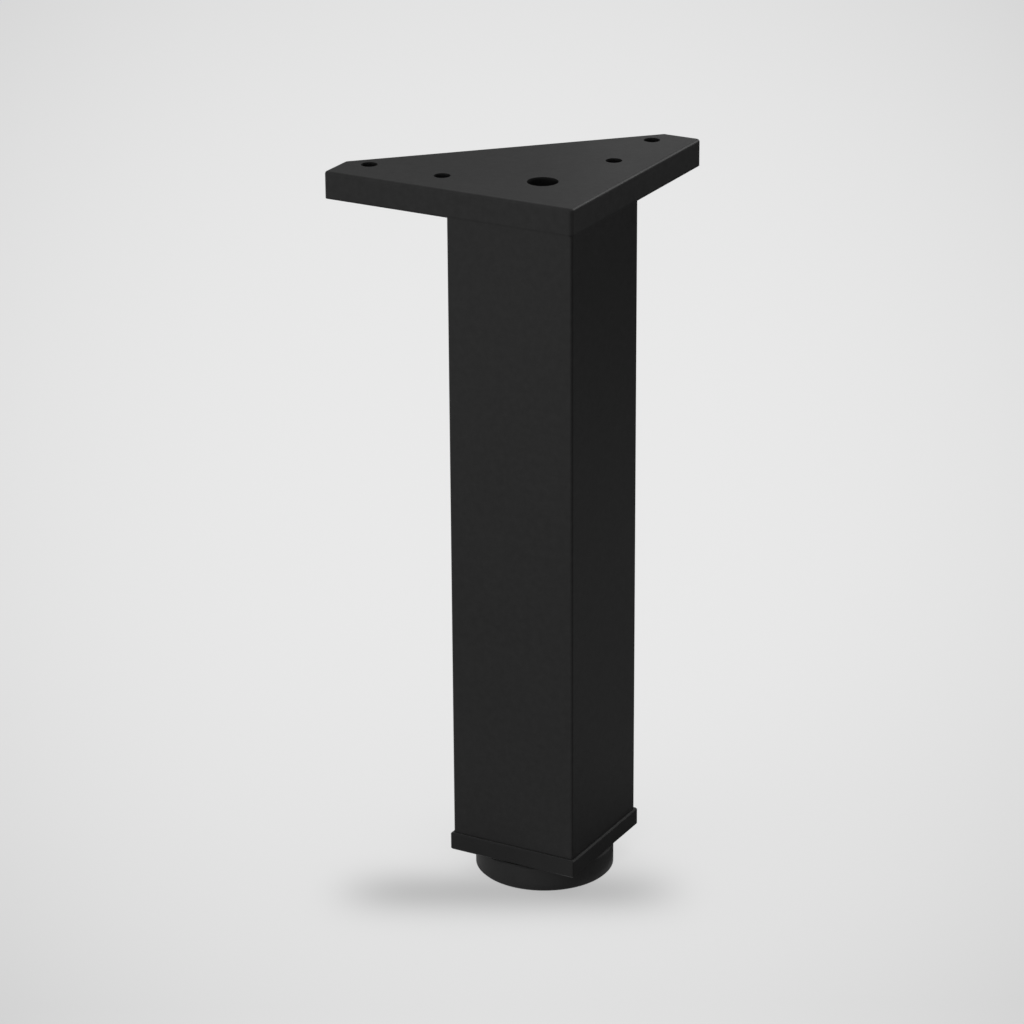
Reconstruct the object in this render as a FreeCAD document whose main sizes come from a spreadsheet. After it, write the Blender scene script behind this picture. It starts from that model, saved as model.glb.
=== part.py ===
import FreeCAD, Part
import Sketcher
import os

# Square table leg with a screw-on corner plate and a height adjuster.
# Millimetres. The origin is the centre of the foot's sole, which is on the tube's axis, with +Z up.
# +X and +Y point along the two arms of the plate, away from its right-angle corner.

# Driving sizes: alias, value, what it is
SIZES = [
    ("TubeWidth", 40, "outside width of the square tube"),
    ("TubeWall", 1.5, "wall of the tube"),
    ("TubeLength", 191, "length of the tube between collar and plate"),
    ("TubeCornerRadius", 0.8, "outer corner of the tube's section"),
    ("TubeInnerRadius", 0.4, "inner corner of the tube's section"),
    ("FitClearance", 0.05, "gap on each side of what is pushed into the tube"),
    ("PlateReach", 40, "how far each arm of the plate runs past the tube"),
    ("PlateThickness", 8, "height of the plate's edge"),
    ("PlateArmEnd", 12, "width of the square end of each arm"),
    ("PlateSkin", 3, "top skin of the cored casting"),
    ("PlateRim", 3, "rim of the cored casting"),
    ("PlateRib", 2, "thickness of a rib under the plate"),
    ("PlateRibPitch", 20, "from the screw row or the tube to the next rib"),
    ("PlateRibRelief", 1, "how far the ribs stay back from the rim's lower edge"),
    ("PlateCornerRadius", 1.2, "upright corners of the plate"),
    ("PlateEdgeRadius", 0.8, "top edge of the plate"),
    ("ScrewHole", 4.8, "diameter of a screw hole"),
    ("ScrewBossWall", 3, "wall of the boss around a screw hole"),
    ("ScrewInset", 12, "from the plate's long side to the row of screw holes"),
    ("ScrewFromTube", 8, "from the tube's side to the first screw hole"),
    ("ScrewFromEnd", 8, "from the second screw hole to the arm's end"),
    ("KeyHole", 9, "diameter of the hole over the adjuster"),
    ("KeyBossWall", 2.5, "wall of the boss around that hole"),
    ("SpigotDepth", 12, "how far the plate's spigot reaches into the tube"),
    ("SpigotWall", 3, "wall of the spigot"),
    ("SpigotWeb", 2.5, "thickness of the cross inside the spigot"),
    ("SpigotLeadIn", 0.8, "bevel at the spigot's lower edge"),
    ("CornerRelief", 0.6, "extra corner radius of what is pushed into the tube"),
    ("CollarOverhang", 0.75, "how far the collar stands out past the tube"),
    ("CollarHeight", 5.5, "height of the collar"),
    ("CollarCornerRadius", 0.6, "upright corners of the collar"),
    ("CollarEdge", 0.4, "bevel at the collar's upper and lower edges"),
    ("PlugHeight", 21, "how far the end insert reaches into the tube"),
    ("PlugRelief", 0.8, "from the tube's bore to the plug's flat sides"),
    ("PlugWall", 2.4, "wall of the plug"),
    ("PlugWeb", 2, "thickness of the cross inside the plug"),
    ("PlugWebDrop", 6, "from the plug's rim down to the cross"),
    ("LamellaThickness", 1.2, "height of one gripping fin around the plug"),
    ("LamellaPitch", 4.5, "from one fin to the next"),
    ("LamellaFirst", 4, "from the collar up to the first fin"),
    ("LamellaCount", 4, "number of gripping fins"),
    ("NutWidth", 17, "across the flats of the nut"),
    ("NutHeight", 8, "height of the nut"),
    ("NutRecess", 0.5, "how deep the nut sits above the collar's underside"),
    ("NutChamfer", 0.6, "bevel at each end of the nut's bore"),
    ("NutBossWall", 2, "wall of the boss around the nut's corners"),
    ("StemDiameter", 10, "diameter of the adjuster's screw"),
    ("StemSpare", 4.5, "screw left above the nut when the adjuster is fully out"),
    ("StemTip", 1, "bevel at the screw's upper end"),
    ("ThreadClearance", 0.05, "gap between screw and nut"),
    ("BoreClearance", 0.5, "gap between screw and the insert's bore"),
    ("HeadFlange", 2, "how far the screw's head stands out past its shank"),
    ("HeadHeight", 3, "thickness of the screw's head"),
    ("HeadPlay", 0.3, "gap around the head in the foot"),
    ("SocketWidth", 5, "across the flats of the key socket"),
    ("SocketDepth", 6, "depth of the key socket"),
    ("Travel", 15, "how far the adjuster screws out"),
    ("FootInset", 0.1, "from the collar's side in to the foot's side"),
    ("FootFloor", 2, "floor of the foot under the screw's head"),
    ("FootLip", 2.1, "thickness of the lip over the screw's head"),
    ("FootSnap", 0.4, "how far the lip reaches over the head"),
    ("FootGap", 0.3, "gap between the foot and the collar when fully in"),
    ("FootRim", 3, "outer wall of the foot"),
    ("FootSkin", 2.2, "upper skin of the foot"),
    ("FootHubWall", 2.2, "wall of the hub around the screw's head"),
    ("FootRib", 1.6, "thickness of a rib under the foot"),
    ("FootRibRise", 0.6, "how far the ribs stay clear of the floor"),
    ("FootRibCount", 8, "number of ribs under the foot"),
    ("FootEdge", 0.5, "bevel at the foot's edges"),
]

# Lengths that follow from the sheet
TUBE_BORE = "(Sizes.TubeWidth - 2 * Sizes.TubeWall)"
TUBE_AXIS = "(Sizes.TubeWidth / 2)"
PLATE_SIDE = "(Sizes.TubeWidth + Sizes.PlateReach)"
CORE_DEPTH = "(Sizes.PlateThickness - Sizes.PlateSkin)"
COLLAR_WIDTH = "(Sizes.TubeWidth + 2 * Sizes.CollarOverhang)"
FOOT_RADIUS = f"({COLLAR_WIDTH} / 2 - Sizes.FootInset)"
PLUG_WIDTH = f"({TUBE_BORE} - 2 * Sizes.PlugRelief)"
PLUG_HOLLOW = f"({PLUG_WIDTH} - 2 * Sizes.PlugWall)"
HEAD_RADIUS = "(Sizes.StemDiameter / 2 + Sizes.HeadFlange)"
HUB_POCKET = f"({HEAD_RADIUS} + Sizes.HeadPlay)"
HUB_RADIUS = f"({HUB_POCKET} + Sizes.FootHubWall)"
NUT_CORNER = "(Sizes.NutWidth / sqrt(3))"

# Heights above the floor
FOOT_TOP = "(Sizes.FootFloor + 2 * Sizes.HeadPlay + Sizes.HeadHeight + Sizes.FootLip)"
COLLAR_BASE = f"({FOOT_TOP} + Sizes.FootGap)"
TUBE_BASE = f"({COLLAR_BASE} + Sizes.CollarHeight)"
PLATE_BASE = f"({TUBE_BASE} + Sizes.TubeLength)"
NUT_BASE = f"({COLLAR_BASE} + Sizes.NutRecess)"
STEM_BASE = "(Sizes.FootFloor + Sizes.HeadPlay)"
STEM_TOP = f"({NUT_BASE} + Sizes.NutHeight + Sizes.Travel + Sizes.StemSpare)"

TOUCH = 0.001  # two places nearer than this are the same place


def make_sheet(doc):
    sheet = doc.addObject("Spreadsheet::Sheet", "Sizes")
    for row, (alias, number, meaning) in enumerate(SIZES, start=1):
        sheet.set(f"A{row}", meaning)
        sheet.set(f"B{row}", str(number))
        sheet.setAlias(f"B{row}", alias)
    doc.recompute()
    return sheet


def value(sheet, expression):
    return float(sheet.evalExpression(expression))


def bind(thing, expressions):
    for name, expression in expressions.items():
        thing.setExpression(name, expression)


def place(thing, x="0", y="0", z="0"):
    bind(thing, {"Placement.Base.x": x, "Placement.Base.y": y, "Placement.Base.z": z})


# Sketches

def origin_part(body, role):
    return next(part for part in body.Origin.OriginFeatures if part.Role == role)


def new_sketch(body, name, plane="XY_Plane", height="0"):
    sketch = body.newObject("Sketcher::SketchObject", name)
    sketch.AttachmentSupport = [(origin_part(body, plane), "")]
    sketch.MapMode = "FlatFace"
    sketch.setExpression("AttachmentOffset.Base.z", height)
    return sketch


def dimension(sketch, name, constraint, expression):
    index = sketch.addConstraint(constraint)
    sketch.renameConstraint(index, name)
    sketch.setExpression("Constraints." + name, expression)


def fix_point(sketch, sheet, name, edge, end, x, y):
    """Places a point from the sketch's origin. A coordinate of "0" puts it on the axis."""
    for direction, axis, expression in (("X", -2, x), ("Y", -1, y)):
        if expression == "0":
            sketch.addConstraint(Sketcher.Constraint("PointOnObject", edge, end, axis))
            continue
        start = value(sheet, expression)
        rule = Sketcher.Constraint("Distance" + direction, -1, 1, edge, end, start)
        dimension(sketch, name + direction, rule, expression)


def closed_lines(sketch, points):
    first = sketch.GeometryCount
    count = len(points)
    for i in range(count):
        line = Part.LineSegment(points[i], points[(i + 1) % count])
        sketch.addGeometry(line, False)
    for i in range(count):
        follower = first + (i + 1) % count
        sketch.addConstraint(Sketcher.Constraint("Coincident", first + i, 2, follower, 1))
    return first


def draw_polygon(sketch, sheet, name, corners):
    points = [FreeCAD.Vector(value(sheet, x), value(sheet, y), 0) for x, y in corners]
    first = closed_lines(sketch, points)
    for i, (x, y) in enumerate(corners):
        fix_point(sketch, sheet, f"{name}{i + 1}", first + i, 1, x, y)


def draw_rectangle(sketch, sheet, name, width, depth):
    """A rectangle centred on the sketch's origin."""
    x = value(sheet, width) / 2
    y = value(sheet, depth) / 2
    signs = ((-1, -1), (1, -1), (1, 1), (-1, 1))
    first = closed_lines(sketch, [FreeCAD.Vector(x * i, y * j, 0) for i, j in signs])
    for side, rule in enumerate(("Horizontal", "Vertical", "Horizontal", "Vertical")):
        sketch.addConstraint(Sketcher.Constraint(rule, first + side))
    sketch.addConstraint(Sketcher.Constraint("Symmetric", first, 1, first + 2, 1, -1, 1))
    across = Sketcher.Constraint("DistanceX", first, 1, first, 2, 2 * x)
    upward = Sketcher.Constraint("DistanceY", first + 1, 1, first + 1, 2, 2 * y)
    dimension(sketch, name + "Width", across, width)
    dimension(sketch, name + "Depth", upward, depth)


def draw_bar(sketch, sheet, name, start, end, thickness):
    """A rectangle along the sketch's first axis, centred across it."""
    near, far, half = value(sheet, start), value(sheet, end), value(sheet, thickness) / 2
    corners = ((near, -half), (far, -half), (far, half), (near, half))
    first = closed_lines(sketch, [FreeCAD.Vector(x, y, 0) for x, y in corners])
    sketch.addConstraint(Sketcher.Constraint("Horizontal", first))
    for side in (1, 3):
        sketch.addConstraint(Sketcher.Constraint("Symmetric", first + side, 1, first + side, 2, -1))
    dimension(sketch, name + "Start",
              Sketcher.Constraint("DistanceX", -1, 1, first, 1, near), start)
    dimension(sketch, name + "End",
              Sketcher.Constraint("DistanceX", -1, 1, first, 2, far), end)
    dimension(sketch, name + "Thickness",
              Sketcher.Constraint("DistanceY", first + 1, 1, first + 1, 2, 2 * half), thickness)


def draw_circle(sketch, sheet, name, radius, x="0", y="0"):
    centre = FreeCAD.Vector(value(sheet, x), value(sheet, y), 0)
    size = value(sheet, radius)
    circle = sketch.addGeometry(Part.Circle(centre, FreeCAD.Vector(0, 0, 1), size), False)
    fix_point(sketch, sheet, name, circle, 3, x, y)
    dimension(sketch, name + "Radius", Sketcher.Constraint("Radius", circle, size), radius)


def draw_hexagon(sketch, sheet, name, across_flats):
    """A hexagon about the origin, with a corner on the first axis."""
    reach = value(sheet, across_flats) / 3 ** 0.5
    turn = FreeCAD.Rotation(FreeCAD.Vector(0, 0, 1), 60)
    corner = FreeCAD.Vector(reach, 0, 0)
    corners = []
    for _ in range(6):
        corners.append(corner)
        corner = turn.multVec(corner)
    first = closed_lines(sketch, corners)
    guide = sketch.addGeometry(Part.Circle(FreeCAD.Vector(), FreeCAD.Vector(0, 0, 1), reach), True)
    sketch.addConstraint(Sketcher.Constraint("Coincident", guide, 3, -1, 1))
    for i in range(6):
        sketch.addConstraint(Sketcher.Constraint("PointOnObject", first + i, 1, guide))
    for i in range(1, 6):
        sketch.addConstraint(Sketcher.Constraint("Equal", first, first + i))
    sketch.addConstraint(Sketcher.Constraint("PointOnObject", first, 1, -1))
    dimension(sketch, name + "Corner", Sketcher.Constraint("Radius", guide, reach),
              f"({across_flats}) / sqrt(3)")


# Features

def pad(body, sketch, name, length, downward=False):
    feature = body.newObject("PartDesign::Pad", name)
    feature.Profile = sketch
    feature.Reversed = downward
    feature.setExpression("Length", length)
    return feature


def pocket(body, sketch, name, length=None, upward=False):
    """Cuts downward from the sketch unless told otherwise, and right through if no length is given."""
    before = body.Shape.Volume
    feature = body.newObject("PartDesign::Pocket", name)
    feature.Profile = sketch
    feature.Reversed = upward
    if length is None:
        feature.Type = "ThroughAll"
    else:
        feature.setExpression("Length", length)
    body.Document.recompute()
    if not body.Shape.Volume < before:
        raise RuntimeError(f"{name} cuts nothing")
    return feature


def turned(body, sketch, name):
    feature = body.newObject("PartDesign::Revolution", name)
    feature.Profile = sketch
    feature.ReferenceAxis = (sketch, ["V_Axis"])
    feature.Angle = 360
    return feature


def edges_where(feature, test):
    """Names of the edges whose two ends, or whole circle, pass the test."""
    return [f"Edge{i}" for i, edge in enumerate(feature.Shape.Edges, start=1) if test(edge)]


def is_upright(edge):
    box = edge.BoundBox
    return box.XLength < TOUCH and box.YLength < TOUCH


def is_level_at(edge, height):
    box = edge.BoundBox
    return box.ZLength < TOUCH and abs(box.ZMin - height) < TOUCH


def is_ring(edge, radius):
    return isinstance(edge.Curve, Part.Circle) and abs(edge.Curve.Radius - radius) < TOUCH


def dress(body, kind, name, size_name, size, test):
    """A fillet or chamfer on every edge of the body that passes the test."""
    body.Document.recompute()
    base = body.Tip
    feature = body.newObject(kind, name)
    feature.Base = (base, edges_where(base, test))
    feature.setExpression(size_name, size)
    body.Document.recompute()
    return feature


def fillet(body, name, radius, test):
    return dress(body, "PartDesign::Fillet", name, "Radius", radius, test)


def chamfer(body, name, size, test):
    return dress(body, "PartDesign::Chamfer", name, "Size", size, test)


def new_body(doc, label):
    body = doc.addObject("PartDesign::Body", label)
    body.Label = label
    return body


def boolean(doc, kind, name, **links):
    result = doc.addObject(kind, name)
    result.Label = name
    for link, things in links.items():
        setattr(result, link, things)
    return result


def box(doc, name, corner, sides):
    """A block from its lowest corner and its three sides, all of them expressions."""
    block = doc.addObject("Part::Box", name)
    place(block, *corner)
    bind(block, dict(zip(("Length", "Width", "Height"), sides)))
    return block


def upright_cylinder(doc, name, centre, radius, height):
    cylinder = doc.addObject("Part::Cylinder", name)
    place(cylinder, *centre)
    bind(cylinder, {"Radius": radius, "Height": height})
    return cylinder


# Mounting plate: a die casting, cored and ribbed underneath, with a spigot for the tube.
# Its own frame has the right-angle corner at the origin and the tube's end at zero height.

def plate_corners(inset):
    """The plate's outline, moved inward by inset: a square with one corner cut off slantwise."""
    far = f"({PLATE_SIDE} - {inset})"
    end = f"(Sizes.PlateArmEnd - {inset} * (sqrt(2) - 1))"
    return [(inset, inset), (far, inset), (far, end), (end, far), (inset, far)]


def screw_places():
    near = "(Sizes.TubeWidth + Sizes.ScrewFromTube)"
    far = f"({PLATE_SIDE} - Sizes.ScrewFromEnd)"
    row = "Sizes.ScrewInset"
    return [(near, row), (far, row), (row, near), (row, far)]


def make_plate_blank(doc, sheet):
    body = new_body(doc, "plate_blank")
    outline = new_sketch(body, "PlateOutline")
    draw_polygon(outline, sheet, "Corner", plate_corners("0"))
    pad(body, outline, "PlateSlab", "Sizes.PlateThickness")
    fillet(body, "PlateCorners", "Sizes.PlateCornerRadius", is_upright)
    top = value(sheet, "Sizes.PlateThickness")
    fillet(body, "PlateTopEdge", "Sizes.PlateEdgeRadius", lambda edge: is_level_at(edge, top))

    near = "(Sizes.TubeWall + Sizes.FitClearance)"
    far = f"(Sizes.TubeWidth - {near})"
    spigot = new_sketch(body, "SpigotOutline")
    draw_polygon(spigot, sheet, "Corner", [(near, near), (far, near), (far, far), (near, far)])
    pad(body, spigot, "Spigot", "Sizes.SpigotDepth", downward=True)
    fillet(body, "SpigotCorners", "Sizes.TubeInnerRadius + Sizes.CornerRelief",
           lambda edge: is_upright(edge) and edge.BoundBox.ZMax < TOUCH)
    bottom = -value(sheet, "Sizes.SpigotDepth")
    chamfer(body, "SpigotLeadIn", "Sizes.SpigotLeadIn", lambda edge: is_level_at(edge, bottom))

    holes = new_sketch(body, "PlateHoles", height="Sizes.PlateThickness")
    for i, (x, y) in enumerate(screw_places(), start=1):
        draw_circle(holes, sheet, f"Screw{i}", "Sizes.ScrewHole / 2", x, y)
    draw_circle(holes, sheet, "Key", "Sizes.KeyHole / 2", TUBE_AXIS, TUBE_AXIS)
    pocket(body, holes, "PlateDrilling")
    return body


def make_arm_core(doc, sheet):
    """The hollows between rim, ribs, screw bosses and the seat that the tube's end meets."""
    outline = doc.addObject("Sketcher::SketchObject", "CoreOutline")
    draw_polygon(outline, sheet, "Corner", plate_corners("Sizes.PlateRim"))
    core = doc.addObject("Part::Extrusion", "CoreSlab")
    core.Base = outline
    core.DirMode = "Normal"
    core.Solid = True
    core.setExpression("LengthFwd", CORE_DEPTH)

    seat = box(doc, "TubeSeat", ("0", "0", "0"),
               ("Sizes.TubeWidth", "Sizes.TubeWidth", CORE_DEPTH))
    kept = [seat]
    for i, (x, y) in enumerate(screw_places(), start=1):
        kept.append(upright_cylinder(doc, f"ScrewBoss{i}", (x, y, "0"),
                                     "Sizes.ScrewHole / 2 + Sizes.ScrewBossWall", CORE_DEPTH))

    low = "Sizes.PlateRibRelief"
    rib_height = f"({CORE_DEPTH} - Sizes.PlateRibRelief)"
    rib_places = [
        ("Sizes.TubeWidth", "Sizes.ScrewInset"),
        ("Sizes.TubeWidth", "Sizes.ScrewInset + Sizes.PlateRibPitch"),
        ("0", "Sizes.TubeWidth + Sizes.PlateRibPitch"),
    ]
    for i, (start, middle) in enumerate(rib_places, start=1):
        side = f"({middle} - Sizes.PlateRib / 2)"
        kept.append(box(doc, f"RibAlongX{i}", (start, side, low),
                        (PLATE_SIDE, "Sizes.PlateRib", rib_height)))
        kept.append(box(doc, f"RibAlongY{i}", (side, start, low),
                        ("Sizes.PlateRib", PLATE_SIDE, rib_height)))
    islands = boolean(doc, "Part::MultiFuse", "PlateIslands", Shapes=kept)
    return boolean(doc, "Part::Cut", "ArmCore", Base=core, Tool=islands)


def make_spigot_core(doc):
    """The hollow up the spigot, less the cross and the boss that carries the key hole."""
    depth = f"(Sizes.SpigotDepth + {CORE_DEPTH})"
    start = "(Sizes.TubeWall + Sizes.FitClearance + Sizes.SpigotWall)"
    width = f"(Sizes.TubeWidth - 2 * {start})"
    hollow = box(doc, "SpigotHollow", (start, start, "-Sizes.SpigotDepth"), (width, width, depth))
    side = f"({TUBE_AXIS} - Sizes.SpigotWeb / 2)"
    web_x = box(doc, "SpigotWebX", (start, side, "-Sizes.SpigotDepth"),
                (width, "Sizes.SpigotWeb", depth))
    web_y = box(doc, "SpigotWebY", (side, start, "-Sizes.SpigotDepth"),
                ("Sizes.SpigotWeb", width, depth))
    boss = upright_cylinder(doc, "KeyBoss", (TUBE_AXIS, TUBE_AXIS, "-Sizes.SpigotDepth"),
                            "Sizes.KeyHole / 2 + Sizes.KeyBossWall", depth)
    cross = boolean(doc, "Part::MultiFuse", "SpigotCross", Shapes=[web_x, web_y, boss])
    return boolean(doc, "Part::Cut", "SpigotCore", Base=hollow, Tool=cross)


def make_mounting_plate(doc, sheet):
    blank = make_plate_blank(doc, sheet)
    cores = boolean(doc, "Part::MultiFuse", "PlateCores",
                    Shapes=[make_arm_core(doc, sheet), make_spigot_core(doc)])
    plate = boolean(doc, "Part::Cut", "mounting_plate", Base=blank, Tool=cores)
    place(plate, f"-{TUBE_AXIS}", f"-{TUBE_AXIS}", PLATE_BASE)
    return plate


# Leg tube: a square tube cut to length

def make_leg_tube(doc, sheet):
    body = new_body(doc, "leg_tube")
    place(body, z=TUBE_BASE)
    section = new_sketch(body, "TubeSection")
    draw_rectangle(section, sheet, "Outside", "Sizes.TubeWidth", "Sizes.TubeWidth")
    draw_rectangle(section, sheet, "Bore", TUBE_BORE, TUBE_BORE)
    pad(body, section, "TubeWalls", "Sizes.TubeLength")
    bore_reach = value(sheet, TUBE_BORE) / 2 + TOUCH

    def is_outer(edge):
        return is_upright(edge) and edge.BoundBox.XMax ** 2 > bore_reach ** 2

    def is_inner(edge):
        return is_upright(edge) and edge.BoundBox.XMax ** 2 < bore_reach ** 2

    fillet(body, "TubeInnerCorners", "Sizes.TubeInnerRadius", is_inner)
    fillet(body, "TubeOuterCorners", "Sizes.TubeCornerRadius",
           lambda edge: is_outer(edge) and abs(edge.Length - value(sheet, "Sizes.TubeLength")) < TOUCH)
    return body


# End insert: a moulded collar with a finned plug, and a boss that holds the nut.
# Its own frame has zero height where the tube's end rests on the collar.

def make_end_insert(doc, sheet):
    body = new_body(doc, "end_insert")
    place(body, z=TUBE_BASE)
    collar = new_sketch(body, "CollarOutline")
    draw_rectangle(collar, sheet, "Collar", COLLAR_WIDTH, COLLAR_WIDTH)
    pad(body, collar, "Collar", "Sizes.CollarHeight", downward=True)
    fillet(body, "CollarCorners", "Sizes.CollarCornerRadius", is_upright)
    bottom = -value(sheet, "Sizes.CollarHeight")
    chamfer(body, "CollarEdges",
            "min(Sizes.CollarEdge; 0.8 * min(Sizes.CollarOverhang; Sizes.CollarCornerRadius))",
            lambda edge: is_level_at(edge, 0) or is_level_at(edge, bottom))

    plug = new_sketch(body, "PlugOutline")
    draw_rectangle(plug, sheet, "Plug", PLUG_WIDTH, PLUG_WIDTH)
    pad(body, plug, "Plug", "Sizes.PlugHeight")

    fin = new_sketch(body, "LamellaOutline", height="Sizes.LamellaFirst")
    fin_width = f"({TUBE_BORE} - 2 * Sizes.FitClearance)"
    draw_rectangle(fin, sheet, "Fin", fin_width, fin_width)
    lamella = pad(body, fin, "Lamella", "Sizes.LamellaThickness")
    lamellas = body.newObject("PartDesign::LinearPattern", "Lamellas")
    lamellas.Originals = [lamella]
    lamellas.Direction = (origin_part(body, "Z_Axis"), [""])
    bind(lamellas, {"Length": "(Sizes.LamellaCount - 1) * Sizes.LamellaPitch",
                    "Occurrences": "Sizes.LamellaCount"})
    body.Tip = lamellas
    doc.recompute()
    reach = value(sheet, fin_width) / 2
    chamfer(body, "LamellaCorners", "Sizes.TubeInnerRadius + Sizes.CornerRelief",
            lambda edge: is_upright(edge) and abs(abs(edge.BoundBox.XMax) - reach) < TOUCH)

    hollow = new_sketch(body, "PlugHollowOutline", height="Sizes.PlugHeight")
    draw_rectangle(hollow, sheet, "Hollow", PLUG_HOLLOW, PLUG_HOLLOW)
    pocket(body, hollow, "PlugHollow", "Sizes.PlugHeight")

    boss = new_sketch(body, "NutBossOutline")
    draw_circle(boss, sheet, "Boss", f"{NUT_CORNER} + Sizes.NutBossWall")
    pad(body, boss, "NutBoss", "Sizes.PlugHeight")
    web_height = "(Sizes.PlugHeight - Sizes.PlugWebDrop)"
    for name, sides in (("PlugWebX", (PLUG_HOLLOW, "Sizes.PlugWeb")),
                        ("PlugWebY", ("Sizes.PlugWeb", PLUG_HOLLOW))):
        web = new_sketch(body, name + "Outline")
        draw_rectangle(web, sheet, "Web", *sides)
        pad(body, web, name, web_height)
    doc.recompute()

    bore = new_sketch(body, "StemBoreOutline", height="Sizes.PlugHeight")
    draw_circle(bore, sheet, "Bore", "Sizes.StemDiameter / 2 + Sizes.BoreClearance")
    pocket(body, bore, "StemBore")
    nut = new_sketch(body, "NutPocketOutline", height="-Sizes.CollarHeight")
    draw_hexagon(nut, sheet, "Nut", "Sizes.NutWidth + 2 * Sizes.FitClearance")
    pocket(body, nut, "NutPocket", "Sizes.NutRecess + Sizes.NutHeight", upward=True)
    return body


# Nut: a hexagon nut, pushed up into the insert

def make_insert_nut(doc, sheet):
    body = new_body(doc, "insert_nut")
    place(body, z=NUT_BASE)
    outline = new_sketch(body, "NutOutline")
    draw_hexagon(outline, sheet, "Nut", "Sizes.NutWidth")
    pad(body, outline, "NutBlank", "Sizes.NutHeight")
    doc.recompute()
    bore = new_sketch(body, "NutBoreOutline", height="Sizes.NutHeight")
    draw_circle(bore, sheet, "Bore", "Sizes.StemDiameter / 2 + Sizes.ThreadClearance")
    pocket(body, bore, "NutBore")
    bore_radius = value(sheet, "Sizes.StemDiameter / 2 + Sizes.ThreadClearance")
    chamfer(body, "NutBoreBevels", "Sizes.NutChamfer", lambda edge: is_ring(edge, bore_radius))

    # The bevels that round off the six corners at both ends lean 30 degrees
    start = "(0.475 * Sizes.NutWidth)"
    end = f"(1.05 * {NUT_CORNER})"
    drop = f"(({end} - {start}) / sqrt(3))"
    bevels = new_sketch(body, "NutBevelOutline", plane="XZ_Plane")
    draw_polygon(bevels, sheet, "Lower", [(start, "0"), (end, "0"), (end, drop)])
    draw_polygon(bevels, sheet, "Upper", [(start, "Sizes.NutHeight"), (end, "Sizes.NutHeight"),
                                          (end, f"(Sizes.NutHeight - {drop})")])
    before = body.Shape.Volume
    groove = body.newObject("PartDesign::Groove", "NutBevels")
    groove.Profile = bevels
    groove.ReferenceAxis = (bevels, ["V_Axis"])
    groove.Angle = 360
    doc.recompute()
    if not body.Shape.Volume < before:
        raise RuntimeError("NutBevels cuts nothing")
    return body


# Adjuster stem: a screw with a flat head that turns in the foot and a key socket at its top

def make_adjuster_stem(doc, sheet):
    body = new_body(doc, "adjuster_stem")
    place(body, z=STEM_BASE)
    length = f"({STEM_TOP} - {STEM_BASE})"
    radius = "(Sizes.StemDiameter / 2)"
    profile = new_sketch(body, "StemProfile", plane="XZ_Plane")
    draw_polygon(profile, sheet, "Point", [
        ("0", "0"),
        (HEAD_RADIUS, "0"),
        (HEAD_RADIUS, "Sizes.HeadHeight"),
        (radius, "Sizes.HeadHeight"),
        (radius, f"({length} - Sizes.StemTip)"),
        (f"({radius} - Sizes.StemTip)", length),
        ("0", length),
    ])
    turned(body, profile, "StemTurning")
    doc.recompute()
    socket = new_sketch(body, "SocketOutline", height=length)
    draw_hexagon(socket, sheet, "Socket", "Sizes.SocketWidth")
    pocket(body, socket, "KeySocket", "Sizes.SocketDepth")
    return body


# Foot pad: a moulded disc, ribbed underneath, whose hub snaps over the screw's head

def make_foot_pad(doc, sheet):
    body = new_body(doc, "foot_pad")
    lip_radius = f"({HEAD_RADIUS} - Sizes.FootSnap)"
    lip_base = f"({FOOT_TOP} - Sizes.FootLip)"
    profile = new_sketch(body, "FootProfile", plane="XZ_Plane")
    draw_polygon(profile, sheet, "Point", [
        ("0", "0"),
        (FOOT_RADIUS, "0"),
        (FOOT_RADIUS, FOOT_TOP),
        (lip_radius, FOOT_TOP),
        (lip_radius, lip_base),
        (HUB_POCKET, lip_base),
        (HUB_POCKET, "Sizes.FootFloor"),
        ("0", "Sizes.FootFloor"),
    ])
    turned(body, profile, "FootTurning")
    outer, lip, top = (value(sheet, size) for size in (FOOT_RADIUS, lip_radius, FOOT_TOP))
    chamfer(body, "FootEdges", "Sizes.FootEdge", lambda edge: is_ring(edge, outer))
    chamfer(body, "FootLipBevel", "Sizes.FootEdge",
            lambda edge: is_ring(edge, lip) and is_level_at(edge, top))

    core_height = f"({FOOT_TOP} - Sizes.FootSkin)"
    core = new_sketch(body, "FootCoreOutline")
    draw_circle(core, sheet, "Rim", f"{FOOT_RADIUS} - Sizes.FootRim")
    draw_circle(core, sheet, "Hub", HUB_RADIUS)
    pocket(body, core, "FootCore", core_height, upward=True)

    rib_outline = new_sketch(body, "FootRibOutline", height="Sizes.FootRibRise")
    draw_bar(rib_outline, sheet, "Rib", f"{HUB_RADIUS} - Sizes.FootHubWall / 2",
             f"{FOOT_RADIUS} - Sizes.FootRim / 2", "Sizes.FootRib")
    rib = pad(body, rib_outline, "FootRib", f"{core_height} - Sizes.FootRibRise")
    ribs = body.newObject("PartDesign::PolarPattern", "FootRibs")
    ribs.Originals = [rib]
    ribs.Axis = (origin_part(body, "Z_Axis"), [""])
    ribs.Angle = 360
    ribs.setExpression("Occurrences", "Sizes.FootRibCount")
    body.Tip = ribs
    return body


def check(doc, pieces):
    for thing in doc.Objects:
        if "Invalid" in thing.State or "Error" in thing.State:
            raise RuntimeError(f"{thing.Label} failed: {thing.State}")
    for piece in pieces:
        if piece.Shape.isNull() or not piece.Shape.isValid() or len(piece.Shape.Solids) != 1:
            raise RuntimeError(f"{piece.Label} is not one valid solid")


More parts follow.
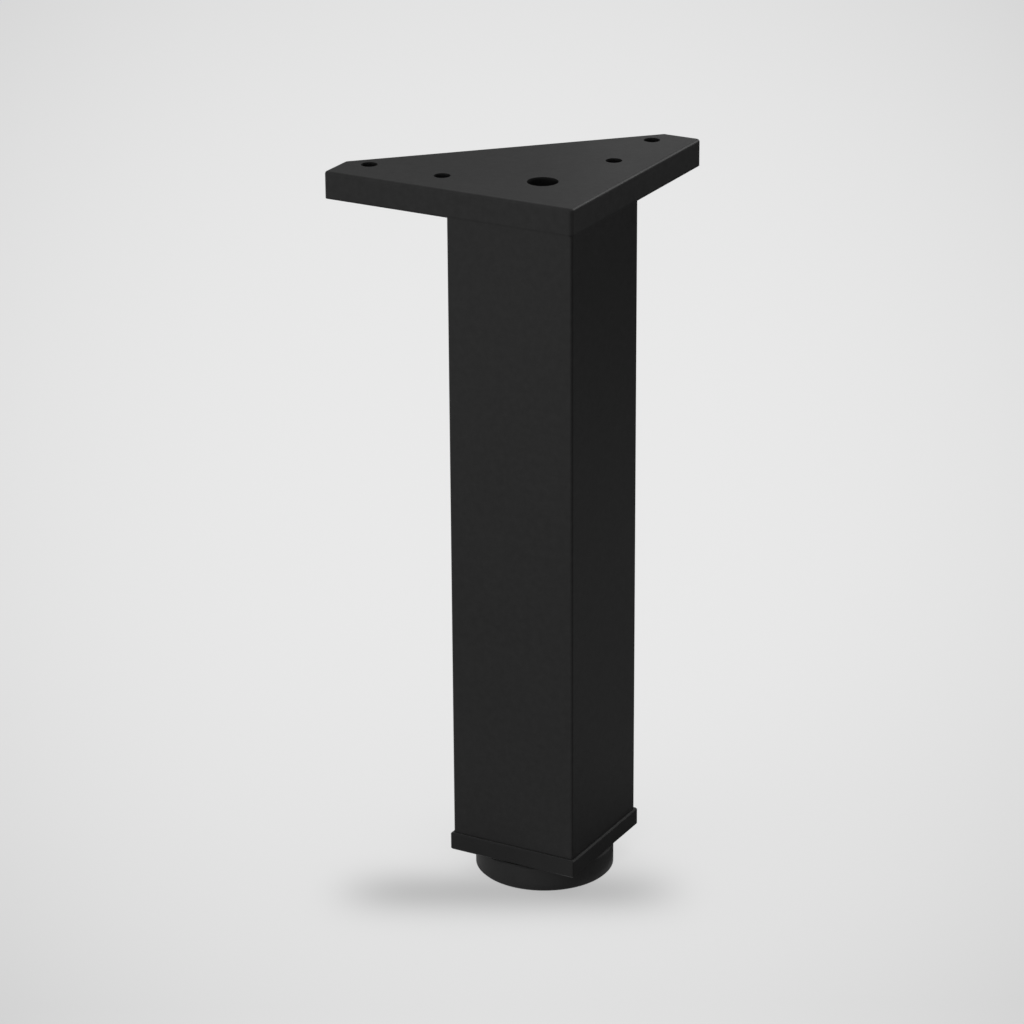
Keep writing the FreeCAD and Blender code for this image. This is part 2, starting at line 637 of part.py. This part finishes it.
def main():
    doc = FreeCAD.newDocument("table_leg")
    sheet = make_sheet(doc)
    pieces = [
        make_mounting_plate(doc, sheet),
        make_leg_tube(doc, sheet),
        make_end_insert(doc, sheet),
        make_insert_nut(doc, sheet),
        make_adjuster_stem(doc, sheet),
        make_foot_pad(doc, sheet),
    ]
    doc.recompute()
    check(doc, pieces)
    os.makedirs("parts", exist_ok=True)
    for piece in pieces:
        piece.Shape.exportStep(f"parts/{piece.Label}.step")
        bounds = piece.Shape.BoundBox
        print(f"{piece.Label}: {piece.Shape.Volume:.0f} mm3,"
              f" z {bounds.ZMin:.2f} to {bounds.ZMax:.2f}")


main()
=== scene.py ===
import math
import bmesh
import bpy
from mathutils import Matrix, Vector


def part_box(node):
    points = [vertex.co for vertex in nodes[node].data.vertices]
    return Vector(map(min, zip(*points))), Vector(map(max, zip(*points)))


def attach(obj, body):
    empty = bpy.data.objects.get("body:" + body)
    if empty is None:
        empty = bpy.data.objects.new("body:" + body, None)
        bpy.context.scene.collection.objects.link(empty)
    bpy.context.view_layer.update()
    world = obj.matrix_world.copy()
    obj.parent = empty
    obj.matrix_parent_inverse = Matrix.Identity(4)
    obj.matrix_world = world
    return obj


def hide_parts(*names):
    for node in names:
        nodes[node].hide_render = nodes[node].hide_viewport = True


# Black square table leg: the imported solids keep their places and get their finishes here,
# the adjuster's screw gets its real thread, and a plain pale studio stands around them.

mm = 0.001


# Shader expressions

class Wire:
    # an output of a shader node, used like a number
    def __init__(self, shader, socket):
        self.shader = shader
        self.socket = socket

    def __add__(self, other):
        return self.shader.sum("ADD", self, other)

    def __radd__(self, other):
        return self.shader.sum("ADD", other, self)

    def __sub__(self, other):
        return self.shader.sum("SUBTRACT", self, other)

    def __rsub__(self, other):
        return self.shader.sum("SUBTRACT", other, self)

    def __mul__(self, other):
        return self.shader.sum("MULTIPLY", self, other)

    def __rmul__(self, other):
        return self.shader.sum("MULTIPLY", other, self)

    def __truediv__(self, other):
        return self.shader.sum("DIVIDE", self, other)

    def __pow__(self, other):
        return self.shader.sum("POWER", self, other)

    def __rpow__(self, other):
        return self.shader.sum("POWER", other, self)


class Shader:
    # the node tree of one material or of the world
    def __init__(self, tree):
        self.tree = tree
        tree.nodes.clear()

    def node(self, kind, settings, sockets, output=0):
        made = self.tree.nodes.new("ShaderNode" + kind)
        for name, setting in settings.items():
            setattr(made, name, setting)
        for name, given in sockets.items():
            if isinstance(given, Wire):
                self.tree.links.new(given.socket, made.inputs[name])
            else:
                made.inputs[name].default_value = given
        return Wire(self, made.outputs[output]) if made.outputs else None

    def sum(self, operation, first, second):
        return self.node("Math", {"operation": operation}, {0: first, 1: second})

    def vector(self, operation, first, second=(0, 0, 0), output=0):
        return self.node("VectorMath", {"operation": operation}, {0: first, 1: second}, output)

    def number(self, operation, first, second=(0, 0, 0)):
        # vector maths whose result is a number
        return self.vector(operation, first, second, output=1)

    def place(self):
        return self.node("TexCoord", {}, {}, "Object")

    def height(self, place):
        return self.node("SeparateXYZ", {}, {0: place}, "Z")

    def noise(self, place, size, detail, rough):
        # size is that of one grain
        return self.node("TexNoise", {}, {
            "Vector": place, "Scale": 1 / size, "Detail": detail, "Roughness": rough})

    def fade(self, wire, span, ends=(0, 1), soft=False):
        # from the first end to the second while the wire runs over the span
        settings = {"interpolation_type": "SMOOTHSTEP" if soft else "LINEAR"}
        return self.node("MapRange", settings, {
            "Value": wire, "From Min": span[0], "From Max": span[1],
            "To Min": ends[0], "To Max": ends[1]})

    def mixColour(self, factor, first, second):
        return self.node("Mix", {"data_type": "RGBA"}, {0: factor, 6: first, 7: second}, output=2)

    def grey(self, tone):
        return self.node("CombineColor", {}, {0: tone, 1: tone, 2: tone})

    def bump(self, wire, depth, strength=1.0, under=None):
        sockets = {"Strength": strength, "Distance": depth, "Height": wire}
        if under is not None:
            sockets["Normal"] = under
        return self.node("Bump", {}, sockets)

    def glow(self, colour, strength):
        return self.node("Emission", {}, {"Color": colour, "Strength": strength})

    def finish(self, surface):
        self.node("OutputMaterial", {}, {"Surface": surface})


def newMaterial(name):
    material = bpy.data.materials.new(name)
    material.use_nodes = True
    return material, Shader(material.node_tree)


def greyOf(tone):
    return (tone, tone, tone, 1)


def addObject(name, data):
    made = bpy.data.objects.new(name, data)
    bpy.context.scene.collection.objects.link(made)
    return made


# Black powder coat on the plate and the tube

powder = {
    "dark": 0.0042,             # grey of the coat where it is darkest and palest
    "light": 0.0112,
    "gloss": 0.19,              # specular level, 0.5 is a clear lacquer
    "roughSpread": 0.10,
    "cloud": (22 * mm, 3, 0.5),     # size, detail and roughness of each pattern
    "mottle": (2.2 * mm, 3, 0.6),
    "peel": (1.6 * mm, 1, 0.5),     # the flow of the molten powder
    "grain": (0.28 * mm, 2, 0.6),
    "cloudShare": 0.3,          # how much each pattern changes the grey
    "mottleShare": 1.1,
    "grainShare": 0.4,
    "peelDepth": 0.020 * mm,
    "grainDepth": 0.010 * mm,
}

plate = {
    "rough": 0.54,
    "peelStrength": 0.9,
    "tone": 1.3,                # times the powder's grey
    "top": 212.5 * mm,
    "underside": 204.5 * mm,
    "holes": {                  # middle and radius of each hole, in millimetres
        "key": (0, 0, 4.5), "nearX": (28, -8, 2.4), "farX": (52, -8, 2.4),
        "nearY": (-8, 28, 2.4), "farY": (-8, 52, 2.4)},
    "bore": 0.0008,             # painted shade: the grey of the holes' walls and of the seam line
    "boreWall": 0.1 * mm,       # how far out a hole's dark wall reaches
    "boreStart": 0.8 * mm,      # below the top, where it is fully dark
    "seam": 0.60 * mm,          # height of the painted shade line where the plate sits on the tube
    "seamShade": 0.35,
}

tube = {
    "rough": 0.44,
    "peelStrength": 0.6,
    "tone": 1.0,
}


# painted shade in the holes: their walls darken towards the shade grey below the top
def paintBoreShade(shader, place, shade):
    flat = shader.vector("MULTIPLY", place, (1, 1, 0))
    nearest = 1.0
    for x, y, radius in plate["holes"].values():
        reach = shader.number("DISTANCE", flat, (x * mm, y * mm, 0))
        nearest = shader.sum("MINIMUM", nearest, reach - radius * mm)
    depth = shader.sum("MINIMUM", (plate["top"] - shader.height(place)) / plate["boreStart"], 1.0)
    depth = shader.sum("MAXIMUM", depth, 0.0)
    within = shader.sum("LESS_THAN", nearest, plate["boreWall"])
    return shader.mixColour(within * depth, shade, greyOf(plate["bore"]))


# painted shade: a dark line along the bottom of the plate's sides, where it sits on the tube
def paintSeamShade(shader, place, shade):
    line = shader.sum("LESS_THAN", shader.height(place), plate["underside"] + plate["seam"])
    return shader.mixColour(line * plate["seamShade"], shade, greyOf(plate["bore"]))


def makeCoat(name, piece):
    material, shader = newMaterial(name)
    place = shader.place()
    cloud, mottle, peel, grain = (
        shader.noise(place, *powder[pattern]) for pattern in ("cloud", "mottle", "peel", "grain"))
    spread = ((cloud - 0.5) * powder["cloudShare"] + (mottle - 0.5) * powder["mottleShare"]
              + (grain - 0.5) * powder["grainShare"] + 0.5)
    shade = shader.mixColour(
        spread, greyOf(piece["tone"] * powder["dark"]), greyOf(piece["tone"] * powder["light"]))
    if piece is plate:
        # painted shade in the holes and along the seam
        shade = paintBoreShade(shader, place, shade)
        shade = paintSeamShade(shader, place, shade)
    waves = shader.bump(peel, powder["peelDepth"], piece["peelStrength"])
    shader.finish(shader.node("BsdfPrincipled", {}, {
        "Base Color": shade,
        "Roughness": piece["rough"] + (cloud - 0.5) * powder["roughSpread"]
        + (grain - 0.5) * powder["roughSpread"],
        "Normal": shader.bump(grain, powder["grainDepth"], under=waves),
        "Specular IOR Level": powder["gloss"]}))
    return material


# Moulded plastic on the end insert and the foot

plastic = {
    "dark": 0.0038,
    "light": 0.0064,
    "flow": (9 * mm, 2, 0.5),       # size, detail and roughness of each pattern
    "spark": (0.22 * mm, 3, 0.65),  # the texture that the mould leaves
    "flowRough": 0.06,
    "sparkRough": 0.12,
}

insert = {
    "rough": 0.52,
    "gloss": 0.16,
    "sparkDepth": 0.020 * mm,
    "tone": 1.5,                # times the plastic's grey
    "ledge": (13.42 * mm, 13.6 * mm),  # heights between which the collar's ledge lies
    "ledgeHighlight": 0.020,            # painted highlight: the paler grey of the ledge, where it catches the light
}

foot = {
    "rough": 0.60,
    "gloss": 0.17,
    "sparkDepth": 0.006 * mm,
    "tone": 2.8,
}


def makePlastic(name, piece):
    material, shader = newMaterial(name)
    place = shader.place()
    flow, spark = (shader.noise(place, *plastic[pattern]) for pattern in ("flow", "spark"))
    shade = shader.mixColour(
        flow, greyOf(piece["tone"] * plastic["dark"]), greyOf(piece["tone"] * plastic["light"]))
    if piece is insert:
        # painted highlight along the collar's ledge
        low, high = insert["ledge"]
        height = shader.height(place)
        ledge = shader.sum("GREATER_THAN", height, low) * shader.sum("LESS_THAN", height, high)
        shade = shader.mixColour(ledge, shade, greyOf(insert["ledgeHighlight"]))
    shader.finish(shader.node("BsdfPrincipled", {}, {
        "Base Color": shade,
        "Roughness": piece["rough"] + (spark - 0.5) * plastic["sparkRough"]
        + (flow - 0.5) * plastic["flowRough"],
        "Normal": shader.bump(spark, piece["sparkDepth"]),
        "Specular IOR Level": piece["gloss"]}))
    return material


# Zinc plating on the nut and the screw

zinc = {
    "pale": (0.66, 0.67, 0.69, 1),
    "dull": (0.50, 0.52, 0.56, 1),
    "rough": 0.30,
    "blotch": (3.5 * mm, 4, 0.6),   # size, detail and roughness of each pattern
    "grain": (0.12 * mm, 2, 0.5),
    "blotchRough": 0.16,
    "grainRough": 0.08,
    "grainDepth": 0.004 * mm,
}


def makeZinc(name):
    material, shader = newMaterial(name)
    place = shader.place()
    blotch, grain = (shader.noise(place, *zinc[pattern]) for pattern in ("blotch", "grain"))
    shader.finish(shader.node("BsdfPrincipled", {}, {
        "Base Color": shader.mixColour(blotch, zinc["dull"], zinc["pale"]),
        "Metallic": 1.0,
        "Roughness": zinc["rough"] + (blotch - 0.5) * zinc["blotchRough"]
        + (grain - 0.5) * zinc["grainRough"],
        "Normal": shader.bump(grain, zinc["grainDepth"])}))
    return material


# The adjuster's screw, with its real thread

screw = {
    "radius": 5.0 * mm,        # over the thread
    "pitch": 1.5 * mm,
    "depth": 0.92 * mm,        # of the thread
    "steps": 72,               # around
    "shank": 1.2 * mm,         # plain length over the head
    "neck": 0.45 * mm,         # how much thinner the shank is than the thread
    "neckEdge": 0.3 * mm,      # bevel between head and shank
    "runOut": 1.6 * mm,        # over which the thread reaches its full depth
    "tip": 1.0 * mm,           # bevel at the upper end
    "headHeight": 3.0 * mm,
    "headRim": 2.0 * mm,       # width of the outer ring of its underside
    "headEdge": 0.35 * mm,     # radius of the head's edges
    "edgeSteps": 4,
    "socketFlats": 5.0 * mm,
    "socketDepth": 6.0 * mm,
    "socketMouth": 3.1 * mm,   # radius of the countersink at the socket
    "drillCone": 0.8 * mm,
    "sharp": 38,               # degrees from which an edge shows as one
    "weld": 0.002 * mm,        # points this close become one
    "speck": 0.001 * mm,       # and faces with edges this short go
}

# the groove along one pitch, from a crest round to the next: share of the pitch, share of the depth
threadForm = (
    (-0.055, 0.00), (0.055, 0.00), (0.085, 0.06), (0.180, 0.34), (0.275, 0.63),
    (0.370, 0.92), (0.420, 0.99), (0.500, 1.00), (0.580, 0.99), (0.630, 0.92),
    (0.725, 0.63), (0.820, 0.34), (0.915, 0.06))

turns = [2 * math.pi * i / screw["steps"] for i in range(screw["steps"])]


def ringOf(mesh, radius, height):
    # both depend on the turn
    points = [(radius(t) * math.cos(t), radius(t) * math.sin(t), height(t)) for t in turns]
    return [mesh.verts.new(point) for point in points]


def roundRing(mesh, radius, height):
    return ringOf(mesh, lambda t: radius, lambda t: height)


def band(mesh, lower, upper):
    for i in range(len(lower)):
        j = (i + 1) % len(lower)
        mesh.faces.new((lower[i], lower[j], upper[j], upper[i]))


def hexReach(turn):
    # from the middle of the socket to its side, along a direction, with a corner at zero
    sixth = math.pi / 3
    return screw["socketFlats"] / 2 / math.cos((turn % sixth) - sixth / 2)


def makeHead(mesh, radius, bottom):
    # from the middle of its underside out, up and in to the neck
    edge = screw["headEdge"]
    side = radius - edge
    neck = screw["radius"] - screw["neck"]
    top = bottom + screw["headHeight"]
    corner = [math.pi / 2 * k / screw["edgeSteps"] for k in range(screw["edgeSteps"] + 1)]
    outline = [(radius - screw["headRim"], bottom)]
    outline += [(side + edge * math.sin(a), bottom + edge - edge * math.cos(a)) for a in corner]
    outline += [(side + edge * math.cos(a), top - edge + edge * math.sin(a)) for a in corner]
    outline += [(neck + screw["neckEdge"], top), (neck, top + screw["neckEdge"])]
    rings = [roundRing(mesh, *point) for point in outline]
    centre = mesh.verts.new((0, 0, bottom))
    for i in range(len(turns)):
        mesh.faces.new((centre, rings[0][(i + 1) % len(turns)], rings[0][i]))
    for lower, upper in zip(rings, rings[1:]):
        band(mesh, lower, upper)
    return outline[-1][1]


def makeThread(mesh, start, top):
    # one long strip around the shank, whose rows rise by a pitch in each turn
    pitch = screw["pitch"]
    neck = screw["radius"] - screw["neck"]
    end = screw["radius"] - screw["tip"]

    def radiusAt(height, depth):
        grown = min(max((height - start - screw["shank"]) / screw["runOut"], 0), 1)
        body = neck + screw["neck"] * grown
        return min(body - depth * screw["depth"] * grown * grown, end + top - height)

    rows = []
    for turn in range(-1, int((top - start) / pitch) + 3):
        for share, depth in threadForm:
            row = []
            for t in turns:
                height = start + pitch * (turn + share + t / (2 * math.pi))
                height = min(max(height, start), top)
                radius = radiusAt(height, depth)
                row.append(mesh.verts.new((radius * math.cos(t), radius * math.sin(t), height)))
            rows.append(row)

    last = len(turns) - 1
    for index in range(len(rows) - 1):
        lower, upper = rows[index], rows[index + 1]
        for i in range(last):
            mesh.faces.new((lower[i], lower[i + 1], upper[i + 1], upper[i]))
        beyond = index + len(threadForm)  # the row that this one runs on into
        if beyond + 1 < len(rows):
            mesh.faces.new((lower[last], rows[beyond][0], rows[beyond + 1][0], upper[last]))


def makeSocket(mesh, top):
    # countersunk mouth, six flats and the cone that the drill leaves
    mouth = screw["socketMouth"]
    floor = top - screw["socketDepth"]
    rings = [
        roundRing(mesh, screw["radius"] - screw["tip"], top),
        roundRing(mesh, mouth, top),
        ringOf(mesh, hexReach, lambda t: top - mouth + hexReach(t)),
        ringOf(mesh, hexReach, lambda t: floor),
        roundRing(mesh, screw["socketFlats"] / 2, floor)]
    for lower, upper in zip(rings, rings[1:]):
        band(mesh, lower, upper)
    point = mesh.verts.new((0, 0, floor - screw["drillCone"]))
    drill = rings[-1]
    for i in range(len(turns)):
        mesh.faces.new((drill[i], drill[(i + 1) % len(turns)], point))


def makeScrew(name, low, high):
    mesh = bmesh.new()
    start = makeHead(mesh, high.x, low.z)
    makeThread(mesh, start, high.z)
    makeSocket(mesh, high.z)
    bmesh.ops.remove_doubles(mesh, verts=mesh.verts, dist=screw["weld"])
    bmesh.ops.dissolve_degenerate(mesh, edges=mesh.edges, dist=screw["speck"])
    bmesh.ops.recalc_face_normals(mesh, faces=mesh.faces)
    for face in mesh.faces:
        face.smooth = True
    sharp = math.radians(screw["sharp"])
    for edge in mesh.edges:
        edge.smooth = len(edge.link_faces) == 2 and edge.calc_face_angle() < sharp
    data = bpy.data.meshes.new(name)
    mesh.to_mesh(data)
    mesh.free()
    return addObject(name, data)


# Studio

camera = {
    "place": (-0.92233, -0.50024, 0.52502),
    "target": (-0.00470, 0.00792, 0.11284),
    "roll": math.radians(-0.3534),
    "lens": 136.381,
    "sensor": 36.0,
    "nearest": 0.05,
    "farthest": 60,
}

worldLight = 0.80

lamps = {
    "softboxTop": {"place": (0, 0, 1.6), "aim": (0, 0, 0.1), "size": (1.8, 1.8), "watts": 3.5},
    "softboxLeft": {
        "place": (-1.0, 0.55, 0.5), "aim": (0, 0, 0.1), "size": (0.9, 0.9), "watts": 2.0},
    "sheenRight": {
        "place": (0.9, -0.40, 0.65), "aim": (0.02, 0, 0.21), "size": (0.5, 0.5), "watts": 4.0,
        "onlyGloss": True},
}

# the floor is plain paper that runs on behind the leg
paper = {
    "side": 14.0,
    "height": -0.05 * mm,       # a hair below the foot's sole
    "grey": 0.830,
    "evenness": 0.82,           # share of its grey that shows without its shading
    "away": (0.8753, 0.4836, 0),     # towards the back of the picture, on the floor
    "across": (0.4836, -0.8753, 0),  # and to its right
}

# painted shade on the paper: soft before the foot, flat along its sides, and a smaller round one
# behind it
shadeBefore = {
    "across": -0.0110, "halfWidth": 0.0475, "away": -0.0205, "halfDepth": 0.0142,
    "flatness": 6, "strength": 0.328,
}
shadeBehind = {"away": 0.0140, "radius": 0.0160, "strength": 0.30}

# painted pool of light: the paper is palest in the middle of a cone of light that comes from the
# upper front
spot = {
    "reach": (1.186, 0.931, 0.5),   # of the cone: at the leg, gained by going back, at least
    "height": (-0.1081, 0.3646),    # of the paper over its axis: at the leg, gained by going back
    "across": -0.0054,              # the palest place, and all sizes below, as shares of the reach
    "up": 0.0113,
    "radius": 0.1275,
    "edge": 0.139,                  # no darker than this far out
    "power": 2.8,
    "strength": 0.0636,
}

# a glowing cove round the front and the right of the leg, bright at the front and dark to the
# right,
# like the flags product photographers use: only reflections see its glow
cove = {
    "from": 180,                # degrees from +X
    "to": 400,
    "middle": 290,
    "softness": 0.5,            # how softly its ends fade
    "profile": (                # reach and height
        (0.022, 0.001), (0.10, 0.001), (0.20, 0.001), (0.30, 0.001), (0.30, 0.12), (0.30, 0.25)),
    "steps": 44,
    "front": 0.95,              # light of its front part, near the leg
    "frontFar": 0.06,           # and far from it
    "frontFade": (0.33, 0.40),  # reach and height together, between near and far
    "right": 331,               # degrees, the middle of its right part
    "rightFade": (-0.5, 0.05),  # cosines of the angle to there, between front and right part
    "under": 0.10,              # light of its right part beside the foot
    "low": 0.23,                # farther along the floor
    "lowFade": (0.035, 0.075),  # reach, between these two
    "high": 0.06,               # and up its wall
    "rise": 0.12,               # height from which that holds
}

# cards that only reflections see
cards = {
    "whiteLeft": {
        "place": (-0.30, 0.16, 0.09), "aim": (-0.02, 0, 0.15), "size": (0.30, 0.14), "light": 1.2},
    "greyBack": {
        "place": (0.078, 0.128, 0.256), "aim": (-0.005, 0.03, 0.21), "size": (0.20, 0.14),
        "light": 0.42},
}


def lookingAt(place, target, roll=0.0):
    forward = (Vector(target) - Vector(place)).normalized()
    turn = forward.to_track_quat("-Z", "Y").to_matrix()
    return (turn @ Matrix.Rotation(roll, 3, "Z")).to_euler()


def makeCamera():
    data = bpy.data.cameras.new("camera")
    data.lens = camera["lens"]
    data.sensor_width = camera["sensor"]
    data.clip_start = camera["nearest"]
    data.clip_end = camera["farthest"]
    eye = addObject("camera", data)
    eye.location = camera["place"]
    eye.rotation_euler = lookingAt(camera["place"], camera["target"], camera["roll"])
    bpy.context.scene.camera = eye


def makeLamps():
    for name, values in lamps.items():
        light = bpy.data.lights.new(name, "AREA")
        light.shape = "RECTANGLE"
        light.size, light.size_y = values["size"]
        light.energy = values["watts"]
        lamp = addObject(name, light)
        lamp.location = values["place"]
        lamp.rotation_euler = lookingAt(values["place"], values["aim"])
        lamp.visible_diffuse = not values.get("onlyGloss")


def makeWorld():
    world = bpy.data.worlds.new("studio")
    world.use_nodes = True
    bpy.context.scene.world = world
    shader = Shader(world.node_tree)
    light = shader.node("Background", {}, {"Color": (1, 1, 1, 1), "Strength": worldLight})
    shader.node("OutputWorld", {}, {"Surface": light})


def makeBoard(name, width, height):
    x, y = width / 2, height / 2
    data = bpy.data.meshes.new(name)
    data.from_pydata([(-x, -y, 0), (x, -y, 0), (x, y, 0), (-x, y, 0)], [], [(0, 1, 2, 3)])
    board = addObject(name, data)
    return board


def footShade(shader, away, across):
    # what is left of the paper's grey in the painted shade around the foot
    before, behind = shadeBefore, shadeBehind
    wide = shader.sum("ABSOLUTE", (across - before["across"]) / before["halfWidth"], 0)
    deep = shader.sum("ABSOLUTE", (away - before["away"]) / before["halfDepth"], 0)
    inFront = math.e ** (-1 * (wide ** before["flatness"] + deep ** 2))
    apart = ((away - behind["away"]) / behind["radius"]) ** 2 + (across / behind["radius"]) ** 2
    inBack = math.e ** (-1 * apart)
    return (1 - inFront * before["strength"]) * (1 - inBack * behind["strength"])


def spotLight(shader, away, across):
    # what is left of the paper's grey away from the middle of the painted pool of light
    atLeg, gained, least = spot["reach"]
    reach = shader.sum("MAXIMUM", away * gained + atLeg, least)
    atLeg, gained = spot["height"]
    height = away * gained + atLeg
    limits = {"Min": -spot["edge"], "Max": spot["edge"]}
    aside = shader.node("Clamp", {}, {"Value": across / reach - spot["across"], **limits})
    above = shader.node("Clamp", {}, {"Value": height / reach - spot["up"], **limits})
    apart = (aside ** 2 + above ** 2) ** 0.5 / spot["radius"]
    return 1 - apart ** spot["power"] * spot["strength"]


def makeFloor():
    floor = makeBoard("floor", paper["side"], paper["side"])
    floor.location.z = paper["height"]
    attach(floor, "foot")  # the foot stands on it when the adjuster is screwed out
    material, shader = newMaterial("floorPaper")
    place = shader.place()
    away = shader.number("DOT_PRODUCT", place, paper["away"])
    across = shader.number("DOT_PRODUCT", place, paper["across"])
    # the paper's grey carries painted shade round the foot and a painted pool of light
    tone = paper["grey"] * footShade(shader, away, across) * spotLight(shader, away, across)
    colour = shader.grey(tone)
    shaded = shader.node("BsdfDiffuse", {}, {"Color": colour})
    direct, glossy, through = (shader.node("LightPath", {}, {}, kind) for kind in (
        "Is Camera Ray", "Is Glossy Ray", "Is Transmission Ray"))
    evenly = (direct + glossy + through) * paper["evenness"]
    lit = shader.node("MixShader", {}, {0: evenly, 1: shaded, 2: shader.glow(colour, 1.0)})
    below = shader.node("NewGeometry", {}, {}, "Backfacing")
    clear = shader.node("BsdfTransparent", {}, {})
    shader.finish(shader.node("MixShader", {}, {0: below, 1: lit, 2: clear}))  # clear from below
    floor.data.materials.append(material)


def onlyReflected(thing):
    thing.visible_camera = False
    thing.visible_diffuse = False
    thing.visible_shadow = False
    thing.visible_transmission = False


def directionOf(degrees):
    turn = math.radians(degrees)
    return (math.cos(turn), math.sin(turn), 0)


# the glow of the cove, which only reflections see
def makeCoveGlow():
    material, shader = newMaterial("coveReflectedGlow")
    place = shader.place()
    height = shader.height(place)
    flat = shader.vector("MULTIPLY", place, (1, 1, 0))
    reach = shader.number("LENGTH", flat)
    toMiddle, toRight = (
        shader.number("DOT_PRODUCT", flat, directionOf(cove[way])) / reach
        for way in ("middle", "right"))
    low = shader.fade(reach, cove["lowFade"], (cove["under"], cove["low"]))
    right = low + (cove["high"] - low) * shader.sum("MINIMUM", height / cove["rise"], 1.0)
    front = shader.fade(reach + height, cove["frontFade"], (cove["front"], cove["frontFar"]))
    glowOfCove = front + (right - front) * shader.fade(toRight, cove["rightFade"], soft=True)
    inside = shader.fade(toMiddle, (0, cove["softness"]), soft=True)
    light = worldLight + (glowOfCove - worldLight) * inside
    shader.finish(shader.glow(shader.grey(light), 1.0))
    return material


def makeCove():
    start, end, steps = cove["from"], cove["to"], cove["steps"]
    ways = [directionOf(start + (end - start) * i / steps) for i in range(steps + 1)]
    rows = len(cove["profile"])
    points = [(r * x, r * y, z) for x, y, _ in ways for r, z in cove["profile"]]
    corners = [i * rows + k for i in range(steps) for k in range(rows - 1)]
    data = bpy.data.meshes.new("cove")
    data.from_pydata(points, [], [(a, a + 1, a + rows + 1, a + rows) for a in corners])
    data.materials.append(makeCoveGlow())
    screen = addObject("cove", data)
    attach(screen, "foot")  # it stands on the floor
    onlyReflected(screen)


def makeCards():
    for name, values in cards.items():
        card = makeBoard(name, *values["size"])
        card.location = values["place"]
        card.rotation_euler = lookingAt(values["place"], values["aim"])
        material, shader = newMaterial(name)
        shader.finish(shader.glow((1, 1, 1, 1), values["light"]))
        card.data.materials.append(material)
        onlyReflected(card)


print("frame")
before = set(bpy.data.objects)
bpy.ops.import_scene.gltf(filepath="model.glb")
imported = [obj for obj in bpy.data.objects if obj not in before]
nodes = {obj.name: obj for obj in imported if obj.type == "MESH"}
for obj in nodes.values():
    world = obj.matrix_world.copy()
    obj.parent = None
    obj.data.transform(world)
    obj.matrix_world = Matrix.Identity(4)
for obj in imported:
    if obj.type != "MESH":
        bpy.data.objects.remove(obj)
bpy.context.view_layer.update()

print("camera and studio")
makeCamera()
makeLamps()
makeWorld()
makeFloor()
makeCove()
makeCards()
bpy.context.scene.view_settings.view_transform = "Standard"

print("finishes")
zincPlating = makeZinc("zincPlating")
finishes = {
    "mounting_plate": makeCoat("plateCoat", plate),
    "leg_tube": makeCoat("tubeCoat", tube),
    "end_insert": makePlastic("insertPlastic", insert),
    "insert_nut": zincPlating,
    "foot_pad": makePlastic("footPlastic", foot),
}
for nodeName, material in finishes.items():
    nodes[nodeName].data.materials[0] = material

print("screw")
threadedScrew = makeScrew("threaded_screw", *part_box("adjuster_stem"))
threadedScrew.data.materials.append(zincPlating)
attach(threadedScrew, "stem")
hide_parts("adjuster_stem")
